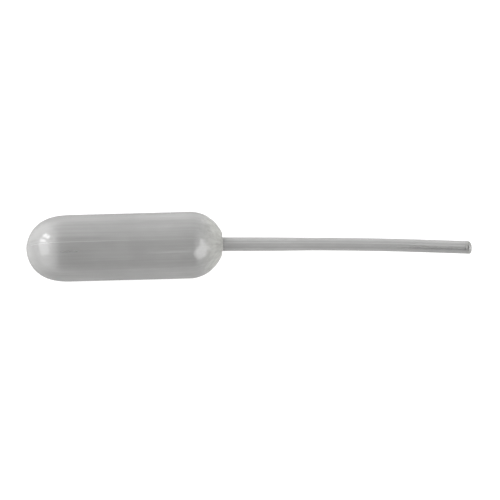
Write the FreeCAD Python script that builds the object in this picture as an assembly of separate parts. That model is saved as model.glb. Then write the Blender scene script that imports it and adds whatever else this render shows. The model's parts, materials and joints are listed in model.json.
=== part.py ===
"""A squeeze transfer pipette in soft, cloudy polyethylene: a thin-walled capsule bulb and a slender stem.

The bulb's two squeeze walls travel inwards, and the stem flexes sideways at a pivot near its root.
Everything is built about the neck, where the bulb meets the stem: the bulb lies along -X and the stem
along +X. The finished solids are then moved so that the origin is the centre of the stem's open mouth.
+Z is up as the pipette lies on a bench, and the mould's parting plane is upright, so its seam runs along
the top and the underside of the bulb. Lengths are in millimetres and angles in degrees.
"""

import FreeCAD, Part
import math
import os
from FreeCAD import Vector

# The bulb: a capsule whose closed end is a half ellipse and whose neck end is a half sphere.
BULB_RADIUS = 8.0
BULB_WALL = 0.5
BULB_LENGTH = 47.2
END_DOME_DEPTH = 9.1
NECK_FILLET = 0.4
FUNNEL_RADIUS = 3.2

# The two squeeze walls, cut from the bulb's sides as pads with rounded corners.
PAD_LENGTH = 22.0
PAD_HALF_HEIGHT = 5.0
PAD_CORNER = 3.0
PAD_GAP = 0.12

# The stem: a straight root, a slight taper, a gentle bend towards -Y and a straight end, whose mouth is cut
# at a slant and opens a little upwards.
BORE_RADIUS = 0.8
ROOT_RADIUS = 1.63
END_RADIUS = 1.53
STEM_LEAN = 1.57
PIVOT_DISTANCE = 12.0
TAPER_LENGTH = 9.0
BEND_RADIUS = 790.0
BEND_ANGLE = 1.91
END_LENGTH = 11.75
MOUTH_SLANT = 29.0
MOUTH_ROUNDING = 0.2

# Room for the stem's round heel to turn in its socket at the full sideways flex.
SOCKET_CLEARANCE = 0.1

# The seam: a fine ridge where the two mould halves met.
SEAM_HEIGHT = 0.08
SEAM_WIDTH = 0.2

# Sizes that follow from the ones above.
NECK_CENTRE = math.sqrt((BULB_RADIUS + NECK_FILLET) ** 2 - (ROOT_RADIUS + NECK_FILLET) ** 2)
END_CENTRE = BULB_LENGTH - END_DOME_DEPTH
PAD_CENTRE = (NECK_CENTRE + END_CENTRE) / 2
BEND_START = PIVOT_DISTANCE + TAPER_LENGTH
BEND_CENTRE = Vector(BEND_START, -BEND_RADIUS, 0)

# A full turn, how far a cutting shape reaches past what it cuts, and the cosine that counts as parallel.
FULL_TURN = 360
PAST = 1.0
PARALLEL = 0.9

X_AXIS = Vector(1, 0, 0)
Y_AXIS = Vector(0, 1, 0)
Z_AXIS = Vector(0, 0, 1)
ORIGIN = Vector(0, 0, 0)


def line(start, end):
    return Part.LineSegment(start, end).toShape()


def arc(centre, radius, start_angle, end_angle):
    """A circular arc in the XY plane through the two angles, measured at its centre from +X."""
    middle_angle = (start_angle + end_angle) / 2
    points = []
    for angle in (start_angle, middle_angle, end_angle):
        points.append(centre + Vector(radius * math.cos(angle), radius * math.sin(angle), 0))
    return Part.Arc(*points).toShape()


def end_dome(depth, radius):
    """The closed end's quarter ellipse, from its pole on the axis up to the straight wall."""
    centre = Vector(-END_CENTRE, 0, 0)
    ellipse = Part.Ellipse(centre - Vector(depth, 0, 0), centre + Vector(0, radius, 0), centre)
    return Part.Arc(ellipse, 0, math.pi / 2).toShape()


def revolved(edges):
    """The solid that a closed outline in the XY plane sweeps about the X axis."""
    face = Part.Face(Part.Wire(Part.__sortEdges__(edges)))
    return face.revolve(ORIGIN, X_AXIS, FULL_TURN)


def bulb_body(radius, end_depth):
    """The bulb's outside as a solid, ending at the neck plane in a fillet that runs onto the stem."""
    sphere_centre = Vector(-NECK_CENTRE, 0, 0)
    fillet_centre = Vector(0, ROOT_RADIUS + NECK_FILLET, 0)
    meeting_angle = math.atan2(fillet_centre.y, NECK_CENTRE)
    edges = [
        end_dome(end_depth, radius),
        line(Vector(-END_CENTRE, radius, 0), Vector(-NECK_CENTRE, radius, 0)),
        arc(sphere_centre, radius, math.pi / 2, meeting_angle),
        arc(fillet_centre, BULB_RADIUS + NECK_FILLET - radius, math.pi + meeting_angle, 1.5 * math.pi),
        line(Vector(0, radius + ROOT_RADIUS - BULB_RADIUS, 0), ORIGIN),
        line(ORIGIN, Vector(-END_CENTRE - end_depth, 0, 0)),
    ]
    return revolved(edges)


def bulb_hollow():
    """The space inside the bulb, narrowing through a funnel to the stem's bore."""
    radius = BULB_RADIUS - BULB_WALL
    depth = END_DOME_DEPTH - BULB_WALL
    funnel_angle = math.asin(FUNNEL_RADIUS / radius)
    funnel_x = radius * math.cos(funnel_angle) - NECK_CENTRE
    edges = [
        end_dome(depth, radius),
        line(Vector(-END_CENTRE, radius, 0), Vector(-NECK_CENTRE, radius, 0)),
        arc(Vector(-NECK_CENTRE, 0, 0), radius, math.pi / 2, funnel_angle),
        line(Vector(funnel_x, FUNNEL_RADIUS, 0), Vector(0, BORE_RADIUS, 0)),
        line(Vector(0, BORE_RADIUS, 0), Vector(PAST, BORE_RADIUS, 0)),
        line(Vector(PAST, BORE_RADIUS, 0), Vector(PAST, 0, 0)),
        line(Vector(PAST, 0, 0), Vector(-END_CENTRE - depth, 0, 0)),
    ]
    return revolved(edges)


def parting_plane_slab():
    """A thin upright slab along the parting plane, long and tall enough to hold the whole bulb."""
    length = BULB_LENGTH + 2 * PAST
    height = 2 * (BULB_RADIUS + PAST)
    corner = Vector(-BULB_LENGTH - PAST, -SEAM_WIDTH / 2, -height / 2)
    return Part.makeBox(length, SEAM_WIDTH, height, corner)


def bulb_wall():
    """The whole bulb as one shell with its seam ridge, before the squeeze walls are cut from it."""
    grown = bulb_body(BULB_RADIUS + SEAM_HEIGHT, END_DOME_DEPTH + SEAM_HEIGHT)
    seam = grown.common(parting_plane_slab())
    return bulb_body(BULB_RADIUS, END_DOME_DEPTH).fuse(seam).cut(bulb_hollow())


def pad_block(side, inset):
    """A block with rounded corners through one side of the bulb: -1 is the front side and +1 the rear."""
    half_length = PAD_LENGTH / 2 - inset
    half_height = PAD_HALF_HEIGHT - inset
    corner = Vector(-PAD_CENTRE - half_length, 0, -half_height)
    block = Part.makeBox(2 * half_length, BULB_RADIUS + PAST, 2 * half_height, corner)
    through = [edge for edge in block.Edges if abs(edge.tangentAt(edge.FirstParameter).y) > PARALLEL]
    block = block.makeFillet(PAD_CORNER - inset, through)
    if side < 0:
        block.rotate(Vector(-PAD_CENTRE, 0, 0), Z_AXIS, 180)
    return block


def squeeze_wall(side):
    return bulb_wall().common(pad_block(side, PAD_GAP))


def bulb_shell():
    """The part of the bulb that keeps its shape: both domes and the seam strips that join them."""
    return bulb_wall().cut(pad_block(-1, 0)).cut(pad_block(1, 0))


def cylinder(radius, start, end):
    return Part.makeCylinder(radius, end - start, Vector(start, 0, 0), X_AXIS)


def bend(radius):
    """A round bar of the given radius that follows the stem's gentle bend towards -Y.

    Its sides become spline surfaces, because a whole ring of the bend's radius would be far larger than
    the part.
    """
    circle = Part.Wire(Part.makeCircle(radius, Vector(BEND_START, 0, 0), X_AXIS))
    return Part.Face(circle).revolve(BEND_CENTRE, -Z_AXIS, BEND_ANGLE).toNurbs()


def after_bend(shape):
    """Carries a shape from the bend's start to its end."""
    shape.rotate(BEND_CENTRE, -Z_AXIS, BEND_ANGLE)
    return shape


def leaned(shape):
    """Turns a stem piece from the bulb's axis to the stem's own slight lean."""
    shape.rotate(ORIGIN, -Z_AXIS, STEM_LEAN)
    return shape


def mouth_waste():
    """The block that the slanted cut takes off the end of the stem, its face through the mouth's centre."""
    side = 8 * END_RADIUS
    mouth_x = BEND_START + END_LENGTH
    block = Part.makeBox(side, side, side, Vector(mouth_x, -side / 2, -side / 2))
    block.rotate(Vector(mouth_x, 0, 0), -Y_AXIS, MOUTH_SLANT)
    return block


def stem_end():
    """The straight end of the stem as a tube, with the outer edge of its slanted mouth rounded."""
    far_end = BEND_START + END_LENGTH + PAST
    outside = cylinder(END_RADIUS, BEND_START, far_end)
    tube = outside.cut(cylinder(BORE_RADIUS, BEND_START - PAST, far_end + PAST)).cut(mouth_waste())
    outer_rim = [
        edge
        for edge in tube.Edges
        if edge.BoundBox.XMin > BEND_START + END_LENGTH / 2 and edge.BoundBox.YLength > 3 * BORE_RADIUS
    ]
    return after_bend(tube.makeFillet(MOUTH_ROUNDING, outer_rim))


def stem_root():
    """The fixed first length of the stem, hollowed at its far end for the moving stem's round heel."""
    socket = Part.makeSphere(ROOT_RADIUS + SOCKET_CLEARANCE, Vector(PIVOT_DISTANCE, 0, 0))
    tube = cylinder(ROOT_RADIUS, -PAST, PIVOT_DISTANCE)
    tube = tube.cut(cylinder(BORE_RADIUS, -2 * PAST, PIVOT_DISTANCE + PAST)).cut(socket)
    bulb_side = Part.makeBox(3 * PAST, 4 * ROOT_RADIUS, 4 * ROOT_RADIUS)
    bulb_side.translate(Vector(-3 * PAST, -2 * ROOT_RADIUS, -2 * ROOT_RADIUS))
    return leaned(tube).cut(bulb_side)


def stem():
    """The flexing stem: a round heel at the pivot, then the taper, the bend and the straight end."""
    heel_centre = Vector(PIVOT_DISTANCE, 0, 0)
    heel = Part.makeSphere(ROOT_RADIUS, heel_centre)
    taper = Part.makeCone(ROOT_RADIUS, END_RADIUS, TAPER_LENGTH, heel_centre, X_AXIS)
    heel = heel.cut(cylinder(2 * ROOT_RADIUS, PIVOT_DISTANCE, PIVOT_DISTANCE + 2 * ROOT_RADIUS))
    bore = cylinder(BORE_RADIUS, PIVOT_DISTANCE - 2 * ROOT_RADIUS, BEND_START)
    near = heel.fuse(taper).cut(bore)
    far = bend(END_RADIUS).cut(bend(BORE_RADIUS))
    return leaned(near.fuse(far).fuse(stem_end()).removeSplitter())


def mouth_centre():
    """The centre of the stem's open mouth, seen from the neck."""
    marker = Part.Vertex(BEND_START + END_LENGTH, 0, 0)
    return leaned(after_bend(marker)).Point


def main():
    os.makedirs("parts", exist_ok=True)
    solids = {
        "bulb_shell": bulb_shell(),
        "front_squeeze_wall": squeeze_wall(-1),
        "rear_squeeze_wall": squeeze_wall(1),
        "stem_root": stem_root(),
        "stem": stem(),
    }
    for name, solid in solids.items():
        solid.translate(-mouth_centre())
        solid.exportStep(f"parts/{name}.step")


main()
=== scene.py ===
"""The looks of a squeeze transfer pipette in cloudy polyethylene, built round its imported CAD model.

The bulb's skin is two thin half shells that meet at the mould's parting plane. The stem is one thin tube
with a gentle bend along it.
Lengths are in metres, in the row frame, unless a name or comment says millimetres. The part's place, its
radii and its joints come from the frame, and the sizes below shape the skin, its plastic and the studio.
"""

import json
import math
import random

import bmesh
import bpy
import numpy as np
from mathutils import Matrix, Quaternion, Vector


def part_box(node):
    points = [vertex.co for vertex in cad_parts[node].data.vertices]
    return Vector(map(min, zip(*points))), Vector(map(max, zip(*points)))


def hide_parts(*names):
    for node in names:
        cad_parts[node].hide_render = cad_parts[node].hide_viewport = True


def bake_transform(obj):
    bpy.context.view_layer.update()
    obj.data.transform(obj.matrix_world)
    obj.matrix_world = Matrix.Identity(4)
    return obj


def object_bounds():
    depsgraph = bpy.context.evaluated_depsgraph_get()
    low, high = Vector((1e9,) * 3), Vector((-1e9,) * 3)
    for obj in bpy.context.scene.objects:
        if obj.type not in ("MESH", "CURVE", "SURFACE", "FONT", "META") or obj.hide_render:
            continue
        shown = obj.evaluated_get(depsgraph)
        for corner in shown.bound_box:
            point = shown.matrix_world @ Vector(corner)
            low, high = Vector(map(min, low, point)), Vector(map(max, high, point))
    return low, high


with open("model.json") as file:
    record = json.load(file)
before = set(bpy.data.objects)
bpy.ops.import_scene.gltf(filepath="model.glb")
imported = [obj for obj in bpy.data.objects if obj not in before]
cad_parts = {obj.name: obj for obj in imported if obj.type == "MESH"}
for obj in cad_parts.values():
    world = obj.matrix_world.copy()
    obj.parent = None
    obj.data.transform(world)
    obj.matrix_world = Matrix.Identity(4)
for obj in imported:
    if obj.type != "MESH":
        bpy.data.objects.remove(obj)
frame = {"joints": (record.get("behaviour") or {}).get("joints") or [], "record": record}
CAD_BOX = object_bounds()

MM = 0.001

# The material slots of a piece's faces.
OUTSIDE = 0
INSIDE = 1
JOINT = 2

# What the CAD model says.
SHELL_LOW, SHELL_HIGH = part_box("bulb_shell")
JOINTS = {joint["name"]: joint for joint in frame["joints"]}
MOUNTS = {mount["name"]: mount for mount in frame["record"]["mounts"]}
BULB_RADIUS = (SHELL_HIGH.y - SHELL_LOW.y) / 2
SEAM_HEIGHT = SHELL_HIGH.z - BULB_RADIUS
AXIS_Y = (SHELL_HIGH.y + SHELL_LOW.y) / 2
NECK_X = SHELL_HIGH.x
NECK = Vector((NECK_X, AXIS_Y, 0.0))
POLE_X = SHELL_LOW.x + SEAM_HEIGHT
PIVOT = Vector(JOINTS["stem_flex"]["pos_m"])
MOUTH = Vector(MOUNTS["tip_bore"]["pos_m"])
MOUTH_DIRECTION = Vector(MOUNTS["tip_bore"]["axis"]).normalized()
BORE_RADIUS = MOUNTS["tip_bore"]["dims"]["r_mm"] * MM
END_RADIUS = MOUNTS["tip_pin"]["dims"]["r_mm"] * MM
END_LENGTH = MOUNTS["tip_bore"]["dims"]["length_mm"] * MM
ROOT_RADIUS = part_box("stem_root")[1].z

# The bulb's outline and wall.
END_DOME_DEPTH = 10.9 * MM
END_DOME_POWER = 2.65
NECK_FILLET = 0.4 * MM
BULB_WALL = 0.5 * MM
NECK_WALL = ROOT_RADIUS - BORE_RADIUS
NECK_CENTRE_X = NECK_X - math.sqrt((BULB_RADIUS + NECK_FILLET) ** 2 - (ROOT_RADIUS + NECK_FILLET) ** 2)
END_CENTRE_X = POLE_X + END_DOME_DEPTH
INSIDE_RELIEF = 0.4

# How many points each part of the bulb's outline has.
END_DOME_POINTS = 72
STRAIGHT_POINTS = 90
NECK_DOME_POINTS = 56
FILLET_POINTS = 10

# Angles round a half shell in degrees: even steps from its middle, then finer ones, counted from the seam.
EVEN_STEP = 1.2
EVEN_END = 85.9
FINE_START = 4.0
FINE_END = 0.35
FINE_COUNT = 9

# The seam's bead on the front half, the valley beside it on the rear half and the soft crease round both.
BEAD_WIDTH = 0.22 * MM
BEAD_HEIGHT = SEAM_HEIGHT / 3
VALLEY_WIDTH = 0.4 * MM
VALLEY_DEPTH = 0.02 * MM
CREASE_WIDTH = 3.0 * MM
CREASE_HEIGHT = 0.1 * MM
CREASE_LOSS = 0.85
FAR_SEAM_WIDTH = 0.28 * MM
TOP_SEAM_LOSS = 0.92
UNDER_SEAM_LEAST = 0.2
UNDER_SEAM_RISE = 0.55
# The next three sizes shape a dark line of painted shade beside the seam on the rear half's top.
DARK_LINE_PLACE = 0.85 * MM
DARK_LINE_WIDTH = 0.6 * MM
DARK_LINE_SHARE = 0.3

# Soft steps over the bulb, each as where it starts and how long it is. Those along it count from the pole,
# and the wall's and the pleats' from the centre of the neck's dome.
TOP_SEAM_FADE = (15 * MM, 12 * MM)
UNDER_SEAM_FADE = (24 * MM, 8 * MM)
CREASE_FADE = (18 * MM, 14 * MM)
DARK_LINE_FADE = (14 * MM, 12 * MM)
WALL_GROWTH = (4 * MM, 3.5 * MM)
PLEAT_GROWTH = (1.0 * MM, 4.5 * MM)
SEAM_RADIUS_FADE = (4.0 * MM, 2.5 * MM)
CREASE_RADIUS = 3.0 * MM
DARK_LINE_RADIUS = 7.0 * MM
LEAST_RADIUS = 0.1 * MM

# The skin's draw lines and waviness.
DRAW_LINE_HEIGHT = 0.005 * MM
DRAW_LINE_LEAST = 0.1
DRAW_LINE_OVERLAP = 3 * MM
DRAW_LINE_FADE = 5 * MM
WAVINESS_HEIGHT = 0.035 * MM
WAVINESS_RADIUS = 3 * MM
WEAKEST_RIPPLE = 0.4

# The neck's pleats. Their heights are in millimetres.
FOLDS_ROUND = 9
FOLD_HEIGHT = 0.05
FOLD_SHARPNESS = 0.8
SMALL_FOLDS_ROUND = 23
SMALL_FOLD_HEIGHT = 0.035
SMALL_FOLD_PHASE = 1.3
SMALL_FOLD_SWAY = 1.8
WIDE_SWAY = 0.5
WIDE_SWAY_PITCH = 1.3 * MM
WIDE_SWAY_TURNS = 3.0
FINE_SWAY = 0.4
FINE_SWAY_PITCH = 0.7 * MM
FINE_SWAY_TURNS = 5.0
CRUMPLE_HEIGHT = 0.03
STEM_MARGIN = 1.2 * MM

# The neck's shoulder: all round near the stem, and a little more at the rear.
NECK_SHOULDER = 0.2 * MM
NECK_SHOULDER_RADIUS = 4.6 * MM
NECK_SHOULDER_FADE = 2.2 * MM
REAR_SHOULDER = 0.16 * MM
REAR_SHOULDER_LENGTH = 5 * MM
REAR_SHARE = 0.2
REAR_STEEPNESS = 1.5

# The stem.
MOUTH_SLANT = math.radians(29.0)
SLANT_FADE = 3.0 * MM
TAPER_LENGTH = 9.0 * MM
MOUTH_ROUNDING = 0.2 * MM
JOIN_GAP = 0.002 * MM
MERGE_DISTANCE = 0.0005 * MM
STEM_SIDES = 96
STEM_OUTSIDE_POINTS = 260
STEM_INSIDE_POINTS = 160
MOUTH_POINTS = 9
STEM_SEAM_HEIGHT = 0.04 * MM
STEM_SEAM_WIDTH = 0.12 * MM
STEM_SEAM_RADIUS_FADE = (1.4 * MM, 0.1 * MM)
STEM_RIPPLE_HEIGHT = 0.003 * MM

# The painted shade on the stem: a dark line beside its top, and a darker front, both stronger towards the
# tip. The tip's step is in millimetres from the neck.
STEM_LINE_ANGLE = math.radians(62.0)
STEM_LINE_SPREAD = math.radians(22.0)
STEM_FRONT_SHARE = 0.35
STEM_FRONT_EDGE = (0.5, 0.2)
STEM_FRONT_LEAST = 0.5
STEM_FRONT_RISE = 0.7
STEM_TIP_MM = (37.0, 14.0)

# The stem's line, which follows from the frame: straight to the bend's start, an arc, then straight.
PIVOT_DISTANCE = (PIVOT - NECK).length
STEM_LEAN = (PIVOT - NECK).normalized()
BEND_START = NECK + STEM_LEAN * (PIVOT_DISTANCE + TAPER_LENGTH)
BEND_END = MOUTH - MOUTH_DIRECTION * END_LENGTH
BEND_ANGLE = STEM_LEAN.angle(MOUTH_DIRECTION)
BEND_RADIUS = (BEND_END - BEND_START).length / (2 * math.sin(BEND_ANGLE / 2))
STRAIGHT_LENGTH = (BEND_START - NECK).length
STEM_LENGTH = STRAIGHT_LENGTH + BEND_RADIUS * BEND_ANGLE + END_LENGTH

# The plastic's colour and clearness.
THIN_BLUE = 0.985
THICK_BLUE = 0.95
CLEAR_TINT = (0.85, 0.85, 0.845, 1.0)
CLEAR_LINING = 0.98
THROUGH_SHARE = 0.4
# Painted light in the tone: a highlight along the seam's bead, and how deep the painted shade line beside it
# is.
SEAM_PAINTED_HIGHLIGHT = 0.3
PAINTED_SHADE_DEPTH = 0.5
SEAM_CLEARER = 0.35
FAR_SEAM_CLEARER = 0.9
THICK_VEIL = 0.9
LEAST_FACING = 0.05

# The plastic's variation. Places are in millimetres from the pole or the neck, and noise scales are per
# millimetre along the piece and round it.
LINE_SCALE = (0.02, 1.6)
CLOUD_SCALE = (0.10, 0.16)
CRUMPLE_SCALE = (0.9, 0.7)
LINE_DETAIL = 3.0
SOFT_DETAIL = 2.0
NOISE_SPREAD = (0.3, 0.7)
CRUMPLE_SPREAD = (0.35, 0.65)
DRAWN_MM = (3.0, 11.0)
LEAST_DRAWN = 0.15
GROWTH_MM = (8.0, 40.0)
PATCHES = (0.95, 1.05)
MOTTLE = 0.045
BUMP_STRENGTH = 0.15
BUMP_HEIGHT = 0.02 * MM
THICK_BUMP = 16.0

# The plastic's gloss.
SKIN_GLOSS = 0.065
SKIN_MOST_GLOSS = 0.13
THICK_ROUGHER = 0.1
LINING_GLOSS = 0.04
LINING_MOST_GLOSS = 0.15
LINING_ROUGHNESS = 0.25
LIMB_POWER = 5.0

# The shade inside the mouth, in millimetres past the place where it starts.
MOUTH_TONE = 0.05
MOUTH_VEIL = 0.75
MOUTH_SHADE_MM = 0.2
MOUTH_RIM_MM = (0.55, 0.8)

# The floor. It looks even to the camera, but what it throws on the plastic changes over these steps, which
# count from the bulb's axis or its pole.
BULB_MIDDLE = Vector(((NECK_X + POLE_X) / 2, AXIS_Y, 0.0))
FLOOR_SIZE = 6.0
FLOOR_GAP = 0.05 * MM
FLOOR_TONE = 0.3
FLOOR_GLOW = 0.8
NEAR_GLOW = 0.6
FRONT_GLOW = 0.1
BACK_GLOW = 0.9
LEFT_GLOW = 1.1
FLOOR_FRONT_STEP = (-0.13, -0.02)
FLOOR_BACK_STEP = (0.012, 0.05)
FLOOR_LEFT_STEP = (-0.03, 0.002)

# The tent of light and its steps, which are parts of a direction's unit vector: across or towards the back.
LEFT_TENT = 3.7
BACK_TENT = 1.08
RIGHT_TENT = 1.0
BACK_WALL = 0.4
OPENING = 0.2
OPENING_LEFT_STEP = (-0.36, -0.13)
OPENING_RIGHT_STEP = (0.3, 0.5)
OPENING_BACK_STEP = (-0.05, 0.95)
LEFT_STEP = (-0.65, -0.15)
LEFT_LEAN = 0.08
LEFT_END_STEP = (-1.0, -0.82)
LEFT_END_SHARE = 0.75
LEFT_FRONT_STEP = (-0.45, 0.15)
LEFT_FRONT_SHARE = 0.7
RIGHT_STEP = (0.3, 0.9)
BACK_WALL_STEP = (0.55, 0.95)

# The soft boxes: name, direction from the bulb, width, height and brightness.
SOFTBOX_DISTANCE = 0.6
SOFTBOXES = (
    ("left_back_window_a", (-0.62, 0.57, 0.52), 0.105, 0.24, 5.2),
    ("left_back_window_b", (-0.77, 0.38, 0.51), 0.10, 0.22, 5.2),
    ("left_softbox", (-0.79, -0.08, 0.60), 0.46, 0.32, 1.5),
    ("right_softbox", (0.74, -0.42, 0.56), 0.60, 0.42, 2.3),
)

# The camera. Its lens and sensor are in millimetres.
CAMERA_ELEVATION = math.radians(79.0)
CAMERA_DISTANCE = 0.4
CAMERA_ROLL = math.radians(1.57)
CAMERA_AIM = Vector((NECK_X + 6.4 * MM, AXIS_Y - 1.61 * MM, 0.0))
CAMERA_LENS = 120.0
CAMERA_SENSOR = 36.0
CAMERA_NEAREST = 0.01
CAMERA_FURTHEST = 10.0

# How far light is followed.
MOST_BOUNCES = 12
MOST_CLEAR_BOUNCES = 24
BRIGHTEST_INDIRECT = 2.0


def smooth(value):
    """0 below 0, 1 above 1 and a soft step between."""
    t = np.clip(value, 0.0, 1.0)
    return t * t * (3.0 - 2.0 * t)


def step(value, start, length):
    """A soft step from 0 to 1 that starts at a value and takes a length."""
    return smooth((value - start) / length)


def waves(angle, along, count, cycles, reach, seed):
    """A sum of seeded ripples round the bulb that drift slowly along it, about -1 to 1."""
    draw = random.Random(seed)
    total = np.zeros(np.broadcast(angle, along).shape)
    for _ in range(count):
        around = draw.randint(*cycles)
        drift = draw.uniform(-1.0, 1.0) / reach
        phase = draw.uniform(0.0, 2.0 * math.pi)
        total = total + draw.uniform(WEAKEST_RIPPLE, 1.0) * np.cos(around * angle + drift * along + phase)
    return total / math.sqrt(count)


def bulb_profile():
    """(x, radius) points of the bulb's outer skin from the closed pole to the neck, about evenly spaced."""
    points = []
    for turn in np.linspace(0.0, math.pi / 2, END_DOME_POINTS, endpoint=False):
        depth = END_DOME_DEPTH * math.cos(turn) ** (2 / END_DOME_POWER)
        points.append((END_CENTRE_X - depth, BULB_RADIUS * math.sin(turn)))
    for x in np.linspace(END_CENTRE_X, NECK_CENTRE_X, STRAIGHT_POINTS, endpoint=False):
        points.append((x, BULB_RADIUS))
    fillet_y = ROOT_RADIUS + NECK_FILLET
    meeting = math.atan2(fillet_y, NECK_X - NECK_CENTRE_X)
    for turn in np.linspace(math.pi / 2, meeting, NECK_DOME_POINTS, endpoint=False):
        points.append((NECK_CENTRE_X + BULB_RADIUS * math.cos(turn), BULB_RADIUS * math.sin(turn)))
    for turn in np.linspace(math.pi + meeting, 1.5 * math.pi, FILLET_POINTS):
        points.append((NECK_X + NECK_FILLET * math.cos(turn), fillet_y + NECK_FILLET * math.sin(turn)))
    return np.array(points)


def draw_lines(angle, x):
    """Fine lines along the bulb, strongest on its straight part."""
    after_dome = smooth((x - END_CENTRE_X + DRAW_LINE_OVERLAP) / DRAW_LINE_FADE)
    before_neck = smooth((NECK_CENTRE_X + DRAW_LINE_OVERLAP - x) / DRAW_LINE_FADE)
    share = DRAW_LINE_LEAST + (1.0 - DRAW_LINE_LEAST) * after_dome * before_neck
    return DRAW_LINE_HEIGHT * waves(angle, x, count=26, cycles=(12, 48), reach=22 * MM, seed=3) * share


def waviness(angle, x, radius):
    """The slow unevenness of the whole skin, which dies out at the pole."""
    ripples = waves(angle, x, count=7, cycles=(2, 5), reach=5 * MM, seed=11)
    return WAVINESS_HEIGHT * ripples * smooth(radius / WAVINESS_RADIUS)


def pleats(angle, x, radius):
    """The folds and crumples where the plastic gathers at the neck."""
    wide = WIDE_SWAY * np.sin(radius / WIDE_SWAY_PITCH + WIDE_SWAY_TURNS * angle)
    sway = wide + FINE_SWAY * np.sin(radius / FINE_SWAY_PITCH - FINE_SWAY_TURNS * angle)
    folds = 1.0 - 2.0 * np.abs(np.sin(FOLDS_ROUND / 2 * angle + sway)) ** FOLD_SHARPNESS
    small_place = SMALL_FOLDS_ROUND / 2 * angle + SMALL_FOLD_PHASE + SMALL_FOLD_SWAY * sway
    small_folds = 1.0 - 2.0 * np.abs(np.sin(small_place))
    crumple = waves(angle, radius, count=12, cycles=(4, 18), reach=0.35 * MM, seed=23)
    height = FOLD_HEIGHT * folds + SMALL_FOLD_HEIGHT * small_folds + CRUMPLE_HEIGHT * crumple
    return step(x - NECK_CENTRE_X, *PLEAT_GROWTH) * step(radius, ROOT_RADIUS, STEM_MARGIN) * MM * height


def neck_shoulder(angle, x, radius):
    """How far the neck's dome stands out as a shoulder."""
    off_stem = step(radius, ROOT_RADIUS, STEM_MARGIN)
    rear = smooth(-REAR_STEEPNESS * np.cos(angle))
    all_round = NECK_SHOULDER * smooth((NECK_SHOULDER_RADIUS - radius) / NECK_SHOULDER_FADE) * off_stem
    further_out = REAR_SHOULDER * step(x, NECK_CENTRE_X, REAR_SHOULDER_LENGTH) * off_stem * rear
    return (all_round * (1.0 + REAR_SHARE * rear) + further_out) * (x > NECK_CENTRE_X)


def skin_relief(angle, x, radius):
    """How far the moulded skin stands off its smooth shape, apart from the seam."""
    even = draw_lines(angle, x) + waviness(angle, x, radius)
    return even + pleats(angle, x, radius) + neck_shoulder(angle, x, radius)


def half_angles():
    """Angles from the wall's middle to both seams, close together near the seams to shape the ridge."""
    middle = np.radians(np.arange(0.0, EVEN_END, EVEN_STEP))
    edge = np.radians(90.0 - np.geomspace(FINE_START, FINE_END, FINE_COUNT))
    side = np.concatenate([middle, edge, [math.pi / 2]])
    return np.concatenate([-side[:0:-1], side])


def seam_strength(x, radius, on_top):
    """How strongly the seam stands out: on top most near the closed end, underneath most near the neck."""
    top = 1.0 - TOP_SEAM_LOSS * step(x - POLE_X, *TOP_SEAM_FADE)
    underneath = UNDER_SEAM_LEAST + UNDER_SEAM_RISE * step(x - POLE_X, *UNDER_SEAM_FADE)
    return np.where(on_top, top, underneath) * step(radius, *SEAM_RADIUS_FADE)


def seam_crease(to_seam, x, radius):
    """The soft rise of the skin towards the seam, which fades towards the neck."""
    crease = (1.0 - np.minimum(to_seam / CREASE_WIDTH, 1.0)) ** 2 * smooth(radius / CREASE_RADIUS)
    return CREASE_HEIGHT * crease * (1.0 - CREASE_LOSS * step(x - POLE_X, *CREASE_FADE))


def beside_seam(to_seam, x, radius, on_top):
    """A dark line of painted shade that runs beside the seam on top, near the closed end."""
    fading = smooth(radius / DARK_LINE_RADIUS) * (1.0 - step(x - POLE_X, *DARK_LINE_FADE))
    line = 1.0 - smooth(np.abs(to_seam - DARK_LINE_PLACE) / DARK_LINE_WIDTH)
    return DARK_LINE_SHARE * fading * line * on_top


def seam_underneath(to_seam, x, radius, on_top):
    """The strip along the underside that shows through the wall as a light line, near the neck."""
    strip = (1.0 - smooth(to_seam / FAR_SEAM_WIDTH)) * ~on_top
    return strip * step(x - POLE_X, *UNDER_SEAM_FADE) * step(radius, *SEAM_RADIUS_FADE)


def profile_normals(profile):
    """The two parts of the outline's outward normal, along the bulb and away from its axis, as columns."""
    tangent = np.gradient(profile, axis=0)
    tangent[0] = (0.0, 1.0)
    tangent /= np.linalg.norm(tangent, axis=1)[:, None]
    return -tangent[:, 1:], tangent[:, :1]


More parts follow.
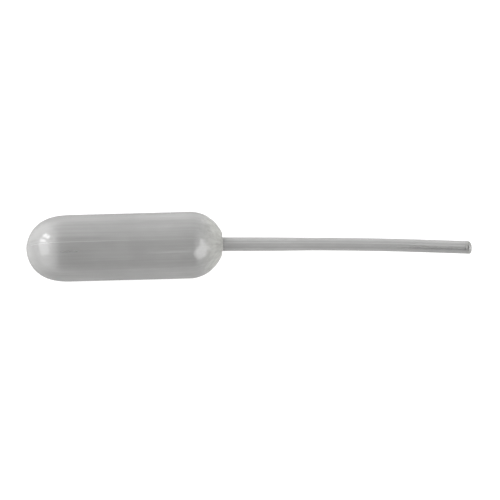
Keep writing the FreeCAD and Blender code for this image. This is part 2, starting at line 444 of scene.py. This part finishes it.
def half_skins(side):
    """Outer and inner points of a half shell, side -1 for the front, as rows along it and columns round it.

    Also gives each point's marks, which its materials read: its place round the bulb, its share of the
    seam's bead on the front half, which also carries a painted highlight, its share of the painted shade
    line beside the seam on the rear half, and its share of the strip underneath.
    """
    profile = bulb_profile()
    x, radius = profile[:, :1], profile[:, 1:]
    out_x, out_radius = profile_normals(profile)
    angles = half_angles()[None, :]
    around = angles if side < 0 else math.pi - angles
    to_seam = (math.pi / 2 - np.abs(angles)) * np.maximum(radius, LEAST_RADIUS)
    on_top = angles > 0.0
    show = seam_strength(x, radius, on_top)
    relief = skin_relief(around, x, radius) + seam_crease(to_seam, x, radius)
    bead = np.zeros(relief.shape)
    painted_shade_line = np.zeros(relief.shape)
    if side < 0:
        bead = (1.0 - smooth(to_seam / BEAD_WIDTH)) * show
        relief = relief + BEAD_HEIGHT * bead
    else:
        painted_shade_line = beside_seam(to_seam, x, radius, on_top)
        relief = relief - show * VALLEY_DEPTH * (1.0 - smooth(to_seam / VALLEY_WIDTH))
    wall = BULB_WALL + (NECK_WALL - BULB_WALL) * step(x - NECK_CENTRE_X, *WALL_GROWTH)
    skins = []
    for lift in (relief, INSIDE_RELIEF * relief - wall):
        place_x = x + out_x * lift
        place_radius = np.maximum(radius + out_radius * lift, 0.0)
        y = AXIS_Y + side * (place_radius * np.cos(angles) + JOIN_GAP)
        z = place_radius * np.sin(angles)
        skins.append(np.stack([place_x, y, z], axis=-1))
    marks = {
        "seam": bead,
        "painted_shade_line": painted_shade_line,
        "far_seam": seam_underneath(to_seam, x, radius, on_top),
        "round_mm": np.broadcast_to(around, bead.shape) * BULB_RADIUS / MM,
    }
    return skins[0], skins[1], marks


def grid_faces(rows, columns, closed_rows=False, closed_columns=False):
    """Quads over points numbered row by row. A closed direction joins its last line to its first."""
    faces = []
    for row in range(rows if closed_rows else rows - 1):
        for column in range(columns if closed_columns else columns - 1):
            here = row * columns
            there = (row + 1) % rows * columns
            following = (column + 1) % columns
            faces.append((here + column, here + following, there + following, there + column))
    return faces


def add_piece(name, points, faces, skins, marks):
    """A closed smooth mesh with outward normals. Skins are the faces' slots, and marks are attributes."""
    mesh = bpy.data.meshes.new(name)
    mesh.from_pydata(points.tolist(), [], faces)
    mesh.polygons.foreach_set("use_smooth", [True] * len(faces))
    mesh.polygons.foreach_set("material_index", np.array(skins, dtype=np.int32))
    for mark_name, values in marks.items():
        attribute = mesh.attributes.new(mark_name, "FLOAT", "POINT")
        attribute.data.foreach_set("value", np.array(values, dtype=np.float32))
    shape = bmesh.new()
    shape.from_mesh(mesh)
    bmesh.ops.remove_doubles(shape, verts=shape.verts, dist=MERGE_DISTANCE)
    bmesh.ops.recalc_face_normals(shape, faces=shape.faces)
    shape.to_mesh(mesh)
    shape.free()
    piece = bpy.data.objects.new(name, mesh)
    bpy.context.scene.collection.objects.link(piece)
    return piece


def half_slot(column, columns):
    """The slot of a face in a half shell's loop: the outside columns, a seam, the inside columns, a seam."""
    if column in (columns - 1, 2 * columns - 1):
        return JOINT
    return INSIDE if column >= columns else OUTSIDE


def bulb_half(side, name):
    """One half of the bulb as a closed skin, its outside and inside joined along both seams and the neck."""
    outer, inner, one_skin_marks = half_skins(side)
    rows, columns = outer.shape[:2]
    loops = np.concatenate([outer, inner[:, ::-1]], axis=1)
    faces = grid_faces(rows, 2 * columns, closed_columns=True)
    skins = [half_slot(index % (2 * columns), columns) for index in range(len(faces))]
    last = (rows - 1) * 2 * columns
    for column in range(columns - 1):
        opposite = 2 * columns - 1 - column
        faces.append((last + column, last + column + 1, last + opposite - 1, last + opposite))
        skins.append(JOINT)
    marks = {"along_mm": ((loops[:, :, 0] - POLE_X) / MM).ravel()}
    for mark_name, values in one_skin_marks.items():
        marks[mark_name] = np.concatenate([values, values[:, ::-1]], axis=1).ravel()
    return add_piece(name, loops.reshape(-1, 3), faces, skins, marks)


def level_across(direction):
    """The level direction square to another, towards the front for one that points along the stem."""
    return Vector((direction.y, -direction.x, 0.0))


def stem_line(distance):
    """Centre and direction of the stem at a distance from the neck: straight, gently bent, then straight."""
    if distance <= STRAIGHT_LENGTH:
        return NECK + STEM_LEAN * distance, STEM_LEAN
    past_bend = distance - STRAIGHT_LENGTH - BEND_RADIUS * BEND_ANGLE
    if past_bend >= 0.0:
        return BEND_END + MOUTH_DIRECTION * past_bend, MOUTH_DIRECTION
    angle = (distance - STRAIGHT_LENGTH) / BEND_RADIUS
    across = level_across(STEM_LEAN)
    centre = BEND_START + across * BEND_RADIUS
    place = centre - across * BEND_RADIUS * math.cos(angle) + STEM_LEAN * BEND_RADIUS * math.sin(angle)
    return place, STEM_LEAN * math.cos(angle) + across * math.sin(angle)


def stem_outline():
    """(distance, radius, inner) round the stem's wall: out along its outside, round the mouth and back."""
    outline = []
    for distance in np.linspace(JOIN_GAP, STEM_LENGTH - MOUTH_ROUNDING, STEM_OUTSIDE_POINTS):
        share = min(max((distance - PIVOT_DISTANCE) / TAPER_LENGTH, 0.0), 1.0)
        outline.append((distance, ROOT_RADIUS + (END_RADIUS - ROOT_RADIUS) * share, False))
    for turn in np.linspace(0.0, math.pi / 2, MOUTH_POINTS)[1:]:
        distance = STEM_LENGTH - MOUTH_ROUNDING + MOUTH_ROUNDING * math.sin(turn)
        outline.append((distance, END_RADIUS - MOUTH_ROUNDING + MOUTH_ROUNDING * math.cos(turn), False))
    for distance in np.linspace(STEM_LENGTH, JOIN_GAP, STEM_INSIDE_POINTS):
        outline.append((distance, BORE_RADIUS, True))
    return outline


def stem_seam(angles, radius):
    """1 on the seam along the stem's top and underside, and 0 away from it."""
    to_seam = np.abs(np.arcsin(np.clip(np.cos(angles), -1.0, 1.0))) * radius
    return 1.0 - smooth(to_seam / STEM_SEAM_WIDTH)


def stem_ring(angles, distance, radius, inner):
    """One ring of the stem's points. Near the mouth the ring leans, which gives the mouth its slant."""
    centre, direction = stem_line(distance)
    lift = STEM_SEAM_HEIGHT * stem_seam(angles, radius) * step(radius, *STEM_SEAM_RADIUS_FADE)
    lift += STEM_RIPPLE_HEIGHT * waves(angles, distance, count=12, cycles=(3, 12), reach=30 * MM, seed=5)
    if inner:
        lift = np.zeros(STEM_SIDES)
    grown = radius + lift
    ring = np.array(centre) + np.outer(grown * np.cos(angles), level_across(direction))
    ring[:, 2] += grown * np.sin(angles)
    slope = math.tan(MOUTH_SLANT) * smooth((distance - STEM_LENGTH + SLANT_FADE) / SLANT_FADE)
    ring -= np.outer(grown * np.sin(angles) * slope, direction)
    return ring


def stem_marks(angles, outline):
    """What the stem's materials read at each point, ring by ring."""
    rings = len(outline)
    along = np.repeat([distance / MM for distance, _, _ in outline], STEM_SIDES)
    towards_tip = step(along, *STEM_TIP_MM)
    # The line beside the top and the darker front are painted shade.
    beside_top = 1.0 - smooth(np.abs(angles - STEM_LINE_ANGLE) / STEM_LINE_SPREAD)
    front = STEM_FRONT_SHARE * step(np.cos(angles), *STEM_FRONT_EDGE)
    painted_front_shade = np.tile(front, rings) * (STEM_FRONT_LEAST + STEM_FRONT_RISE * towards_tip)
    return {
        "along_mm": along,
        "round_mm": np.tile(angles * END_RADIUS / MM, rings),
        "seam": np.tile(stem_seam(angles, END_RADIUS), rings),
        "painted_shade_line": np.maximum(np.tile(beside_top, rings) * towards_tip, painted_front_shade),
        "far_seam": np.zeros(len(along)),
    }


def stem_tube(name):
    """The stem as one closed tube along its own bent line, with the seam's ridge on its top and underside."""
    outline = stem_outline()
    angles = np.linspace(0.0, 2 * math.pi, STEM_SIDES, endpoint=False)
    points = np.array([stem_ring(angles, distance, radius, inner) for distance, radius, inner in outline])
    faces = grid_faces(len(outline), STEM_SIDES, closed_rows=True, closed_columns=True)
    skins = []
    for row in range(len(outline) - 1):
        skins += [INSIDE if outline[row][2] and outline[row + 1][2] else OUTSIDE] * STEM_SIDES
    skins += [JOINT] * STEM_SIDES
    return add_piece(name, points.reshape(-1, 3), faces, skins, stem_marks(angles, outline))


def grey(value):
    return (value, value, value, 1.0)


def new_tree(name):
    """A new material and its empty node tree."""
    material = bpy.data.materials.new(name)
    material.use_nodes = True
    material.node_tree.nodes.clear()
    return material, material.node_tree


def add_node(tree, kind, *by_place, **by_name):
    """A shader node whose inputs take a value or a link, by place or by name with underscores for spaces."""
    made = tree.nodes.new("ShaderNode" + kind)
    inputs = [(made.inputs[place], value) for place, value in enumerate(by_place)]
    inputs += [(made.inputs[name.replace("_", " ")], value) for name, value in by_name.items()]
    for socket, value in inputs:
        if isinstance(value, bpy.types.NodeSocket):
            tree.links.new(value, socket)
        else:
            socket.default_value = value
    return made


def calculate(tree, operation, first, second=0.0):
    made = add_node(tree, "Math", first, second)
    made.operation = operation
    return made.outputs[0]


def add(tree, first, second):
    return calculate(tree, "ADD", first, second)


def subtract(tree, first, second):
    return calculate(tree, "SUBTRACT", first, second)


def multiply(tree, first, second):
    return calculate(tree, "MULTIPLY", first, second)


def remap(tree, value, from_low, from_high, to_low, to_high):
    """A soft step from one value to another."""
    made = add_node(tree, "MapRange", value, from_low, from_high, to_low, to_high)
    made.interpolation_type = "SMOOTHSTEP"
    return made.outputs["Result"]


def mark(tree, name):
    made = add_node(tree, "Attribute")
    made.attribute_name = name
    return made.outputs["Fac"]


def skin_noise(tree, along_scale, round_scale, detail):
    """Noise that stays on the skin, with its own scale along the piece and round it, per millimetre."""
    along = multiply(tree, mark(tree, "along_mm"), along_scale)
    round_place = multiply(tree, mark(tree, "round_mm"), round_scale)
    place = add_node(tree, "CombineXYZ", along, round_place).outputs["Vector"]
    return add_node(tree, "TexNoise", Vector=place, Scale=1.0, Detail=detail).outputs["Fac"]


def slant(tree, **normal):
    """0 where a surface faces the viewer and 1 at its limb."""
    return add_node(tree, "LayerWeight", 0.5, **normal).outputs["Facing"]


def cloudiness(tree, depth):
    """The share of light that the wall scatters, which rises with the wall that the view goes through."""
    facing = calculate(tree, "MAXIMUM", subtract(tree, 1.0, slant(tree)), LEAST_FACING)
    passed = calculate(tree, "EXPONENT", calculate(tree, "DIVIDE", -depth, facing))
    return subtract(tree, 1.0, passed)


def glossed(tree, body, head_on, most, roughness, normal=None):
    """Lays a soft reflection over a shader: a share seen head on, rising steeply at the limb to a limit."""
    named = {"Normal": normal} if normal else {}
    rise = calculate(tree, "POWER", slant(tree, **named), LIMB_POWER)
    share = add(tree, multiply(tree, rise, 1.0 - head_on), head_on)
    share = calculate(tree, "MINIMUM", share, most)
    gloss = add_node(tree, "BsdfGlossy", Color=grey(1.0), Roughness=roughness, **named)
    return add_node(tree, "MixShader", share, body, gloss.outputs[0]).outputs[0]


def varied_tone(tree, lines, drawn, tone, streak, growth):
    """A tone with streaks along the piece, soft patches and a slow change from its start to its far end."""
    streaks = remap(tree, lines, *NOISE_SPREAD, -streak, streak)
    streaks = add(tree, 1.0, multiply(tree, streaks, drawn))
    patches = remap(tree, skin_noise(tree, *CLOUD_SCALE, SOFT_DETAIL), *NOISE_SPREAD, *PATCHES)
    along = remap(tree, mark(tree, "along_mm"), *GROWTH_MM, 1.0 - growth, 1.0 + growth)
    return multiply(tree, multiply(tree, multiply(tree, streaks, patches), tone), along)


def marked_tone(tree, shade):
    """Paints shade along the dark line and a highlight along the seam into the tone: it darkens one and
    lightens the other.
    """
    darker = subtract(tree, 1.0, multiply(tree, mark(tree, "painted_shade_line"), PAINTED_SHADE_DEPTH))
    return add(tree, multiply(tree, shade, darker), multiply(tree, mark(tree, "seam"), SEAM_PAINTED_HIGHLIGHT))


def skin_veil(tree, depth, thick):
    """How much of what lies behind the skin it hides: more where it is thick, and less along both seams."""
    veil = calculate(tree, "MAXIMUM", cloudiness(tree, depth), multiply(tree, thick, THICK_VEIL))
    clearer = multiply(tree, mark(tree, "seam"), SEAM_CLEARER)
    far_clearer = multiply(tree, mark(tree, "far_seam"), FAR_SEAM_CLEARER)
    clearer = calculate(tree, "MAXIMUM", clearer, far_clearer)
    return multiply(tree, veil, subtract(tree, 1.0, clearer))


def skin_material(name, tone, depth, roughness, streak, growth, thick_from, thick_to, thick_tone):
    """The outer skin of cloudy polyethylene, with fine draw lines along it, a clearer seam with a painted
    highlight on it, and painted shade along its dark line.

    From one place to another along the piece, in millimetres, the wall thickens: it turns cloudier,
    mottled and rougher, and its tone rises.
    """
    material, tree = new_tree(name)
    lines = skin_noise(tree, *LINE_SCALE, LINE_DETAIL)
    drawn = remap(tree, mark(tree, "along_mm"), *DRAWN_MM, LEAST_DRAWN, 1.0)
    thick = remap(tree, mark(tree, "along_mm"), thick_from, thick_to, 0.0, 1.0)
    crumple = skin_noise(tree, *CRUMPLE_SCALE, SOFT_DETAIL)
    mottle = remap(tree, crumple, *CRUMPLE_SPREAD, -MOTTLE, MOTTLE)
    shade = varied_tone(tree, lines, drawn, tone, streak, growth)
    shade = add(tree, shade, multiply(tree, thick, mottle))
    shade = add(tree, shade, multiply(tree, thick, thick_tone))
    shade = marked_tone(tree, shade)
    blue = multiply(tree, shade, remap(tree, thick, 0.0, 1.0, THIN_BLUE, THICK_BLUE))
    colour = add_node(tree, "CombineColor", shade, shade, blue).outputs["Color"]
    crumpled = multiply(tree, thick, multiply(tree, crumple, THICK_BUMP))
    relief = add(tree, multiply(tree, lines, drawn), crumpled)
    bump = add_node(tree, "Bump", Strength=BUMP_STRENGTH, Distance=BUMP_HEIGHT, Height=relief)
    normal = bump.outputs["Normal"]
    diffuse = add_node(tree, "BsdfDiffuse", Color=colour, Normal=normal).outputs[0]
    through = add_node(tree, "BsdfTranslucent", Color=colour, Normal=normal).outputs[0]
    body = add_node(tree, "MixShader", THROUGH_SHARE, diffuse, through).outputs[0]
    clear = add_node(tree, "BsdfTransparent", CLEAR_TINT).outputs[0]
    veiled = add_node(tree, "MixShader", skin_veil(tree, depth, thick), clear, body).outputs[0]
    rough = remap(tree, thick, 0.0, 1.0, roughness, roughness + THICK_ROUGHER)
    top = glossed(tree, veiled, SKIN_GLOSS, SKIN_MOST_GLOSS, rough, normal)
    add_node(tree, "OutputMaterial", Surface=top)
    return material


def lining_material(name, tone, depth, shade_from):
    """The inner skin: nearly clear with a soft shine, because the outer skin holds the plastic's cloud.

    Past a place along the piece, in millimetres, it lies in the shade of the mouth.
    """
    material, tree = new_tree(name)
    along = mark(tree, "along_mm")
    shaded = remap(tree, along, shade_from, shade_from + MOUTH_SHADE_MM, 0.0, 1.0)
    rim_from, rim_to = (shade_from + place for place in MOUTH_RIM_MM)
    shaded = multiply(tree, shaded, remap(tree, along, rim_from, rim_to, 1.0, 0.0))
    shade = remap(tree, shaded, 0.0, 1.0, tone, MOUTH_TONE)
    veil = calculate(tree, "MAXIMUM", cloudiness(tree, depth), multiply(tree, shaded, MOUTH_VEIL))
    colour = add_node(tree, "CombineColor", shade, shade, shade).outputs["Color"]
    diffuse = add_node(tree, "BsdfDiffuse", Color=colour).outputs[0]
    clear = add_node(tree, "BsdfTransparent", grey(CLEAR_LINING)).outputs[0]
    veiled = add_node(tree, "MixShader", veil, clear, diffuse).outputs[0]
    top = glossed(tree, veiled, LINING_GLOSS, LINING_MOST_GLOSS, LINING_ROUGHNESS)
    add_node(tree, "OutputMaterial", Surface=top)
    return material


def joint_material():
    """The faces where one piece meets the next: the real plastic is continuous there, so nothing shows."""
    material, tree = new_tree("fused_joint")
    clear = add_node(tree, "BsdfTransparent", grey(1.0)).outputs[0]
    add_node(tree, "OutputMaterial", Surface=clear)
    return material


def add_bulb(joint):
    neck_place = (NECK_X - POLE_X) / MM
    skin = skin_material(
        "cloudy_bulb_skin",
        tone=0.28,
        depth=0.85,
        roughness=0.12,
        streak=0.055,
        growth=0.05,
        thick_from=neck_place - 7.0,
        thick_to=neck_place - 1.5,
        thick_tone=0.18,
    )
    lining = lining_material("bulb_lining", tone=0.3, depth=0.04, shade_from=2 * neck_place)
    for side, name, body, pad in (
        (-1, "bulb_front_half", "front_wall", "front_squeeze_wall"),
        (1, "bulb_rear_half", "rear_wall", "rear_squeeze_wall"),
    ):
        half = bulb_half(side, name)
        for material in (skin, lining, joint):
            half.data.materials.append(material)
        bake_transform(half)
        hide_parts(pad, "bulb_shell")


def add_stem(joint):
    stem = stem_tube("stem_tube")
    length = STEM_LENGTH / MM
    skin = skin_material(
        "cloudy_stem_skin",
        tone=0.335,
        depth=0.85,
        roughness=0.16,
        streak=0.04,
        growth=-0.03,
        thick_from=length - 0.4,
        thick_to=length,
        thick_tone=0.0,
    )
    lining = lining_material("stem_lining", tone=0.12, depth=0.15, shade_from=length - 1.0)
    for material in (skin, lining, joint):
        stem.data.materials.append(material)
    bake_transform(stem)
    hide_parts("stem_root", "stem")


def floor_material():
    """A pale bench top with a glow that is even to the camera, and changes by place for all other light."""
    material, tree = new_tree("pale_floor")
    diffuse = add_node(tree, "BsdfDiffuse", Color=grey(FLOOR_TONE)).outputs[0]
    position = add_node(tree, "NewGeometry").outputs["Position"]
    across, back, _ = add_node(tree, "SeparateXYZ", position).outputs
    front_step = [AXIS_Y + place for place in FLOOR_FRONT_STEP]
    back_step = [AXIS_Y + place for place in FLOOR_BACK_STEP]
    left_step = [POLE_X + place for place in FLOOR_LEFT_STEP]
    front = remap(tree, back, *front_step, FRONT_GLOW, NEAR_GLOW)
    behind = remap(tree, back, *back_step, 0.0, BACK_GLOW)
    beside = remap(tree, across, *left_step, LEFT_GLOW, 0.0)
    thrown = add(tree, add(tree, front, behind), beside)
    seen = add_node(tree, "LightPath").outputs["Is Camera Ray"]
    strength = remap(tree, seen, 0.0, 1.0, thrown, FLOOR_GLOW)
    glow = add_node(tree, "Emission", Color=grey(1.0), Strength=strength).outputs[0]
    both = add_node(tree, "AddShader", diffuse, glow).outputs[0]
    add_node(tree, "OutputMaterial", Surface=both)
    material.cycles.emission_sampling = "NONE"
    return material


def add_floor():
    """A plain floor a hair below the pipette."""
    lowest = min(CAD_BOX[0].z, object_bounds()[0].z) - FLOOR_GAP
    bpy.ops.mesh.primitive_plane_add(size=FLOOR_SIZE, location=(BULB_MIDDLE.x, BULB_MIDDLE.y, lowest))
    floor = bpy.context.object
    floor.name = "floor"
    floor.data.materials.append(floor_material())


def add_softbox(name, direction, width, height, radiance):
    """A soft box at a fixed distance that faces the bulb from a direction, with a stated brightness."""
    data = bpy.data.lights.new(name, "AREA")
    data.shape = "RECTANGLE"
    data.size = width
    data.size_y = height
    data.energy = radiance * math.pi * width * height
    light = bpy.data.objects.new(name, data)
    towards = Vector(direction).normalized()
    light.location = BULB_MIDDLE + towards * SOFTBOX_DISTANCE
    light.rotation_mode = "QUATERNION"
    light.rotation_quaternion = towards.to_track_quat("Z", "Y")
    bpy.context.scene.collection.objects.link(light)


def tent_left(tree, across, back):
    """The tent's bright left end: its edge leans a little towards the back, and its far end and front dim."""
    further = multiply(tree, calculate(tree, "MAXIMUM", back, 0.0), LEFT_LEAN)
    left = remap(tree, subtract(tree, across, further), *LEFT_STEP, LEFT_TENT - BACK_TENT, 0.0)
    left = multiply(tree, left, remap(tree, across, *LEFT_END_STEP, LEFT_END_SHARE, 1.0))
    return multiply(tree, left, remap(tree, back, *LEFT_FRONT_STEP, LEFT_FRONT_SHARE, 1.0))


def add_world():
    """A soft tent, brightest at its left end, with a dark opening overhead that widens towards the front."""
    world = bpy.data.worlds.new("soft_studio")
    bpy.context.scene.world = world
    world.use_nodes = True
    tree = world.node_tree
    direction = add_node(tree, "TexCoord").outputs["Generated"]
    across, back, _ = add_node(tree, "SeparateXYZ", direction).outputs
    opening = remap(tree, across, *OPENING_LEFT_STEP, 0.0, 1.0)
    opening = multiply(tree, opening, remap(tree, across, *OPENING_RIGHT_STEP, 1.0, 0.0))
    opening = multiply(tree, opening, remap(tree, back, *OPENING_BACK_STEP, 1.0, 0.0))
    left = tent_left(tree, across, back)
    right = remap(tree, across, *RIGHT_STEP, 0.0, RIGHT_TENT - BACK_TENT)
    wall = remap(tree, back, *BACK_WALL_STEP, BACK_TENT, BACK_TENT + BACK_WALL)
    tent = add(tree, add(tree, left, right), wall)
    dimmed = subtract(tree, tent, multiply(tree, opening, subtract(tree, tent, OPENING)))
    background = tree.nodes["Background"]
    tree.links.new(dimmed, background.inputs["Strength"])
    background.inputs["Color"].default_value = grey(1.0)


def add_camera():
    """A camera nearly above the pipette, turned so that the bulb's axis climbs a little to the right."""
    data = bpy.data.cameras.new("camera")
    data.lens = CAMERA_LENS
    data.sensor_width = CAMERA_SENSOR
    data.clip_start = CAMERA_NEAREST
    data.clip_end = CAMERA_FURTHEST
    camera = bpy.data.objects.new("camera", data)
    back = Vector((0.0, -math.cos(CAMERA_ELEVATION), math.sin(CAMERA_ELEVATION)))
    camera.location = CAMERA_AIM + back * CAMERA_DISTANCE
    camera.rotation_mode = "QUATERNION"
    level = (-back).to_track_quat("-Z", "Y")
    camera.rotation_quaternion = Quaternion(back, -CAMERA_ROLL) @ level
    bpy.context.scene.collection.objects.link(camera)
    bpy.context.scene.camera = camera


def main():
    joint = joint_material()
    add_bulb(joint)
    add_stem(joint)
    add_floor()
    for softbox in SOFTBOXES:
        add_softbox(*softbox)
    add_world()
    add_camera()
    scene = bpy.context.scene
    scene.view_settings.view_transform = "Standard"
    scene.cycles.max_bounces = MOST_BOUNCES
    scene.cycles.transparent_max_bounces = MOST_CLEAR_BOUNCES
    scene.cycles.caustics_reflective = False
    scene.cycles.sample_clamp_indirect = BRIGHTEST_INDIRECT


main()
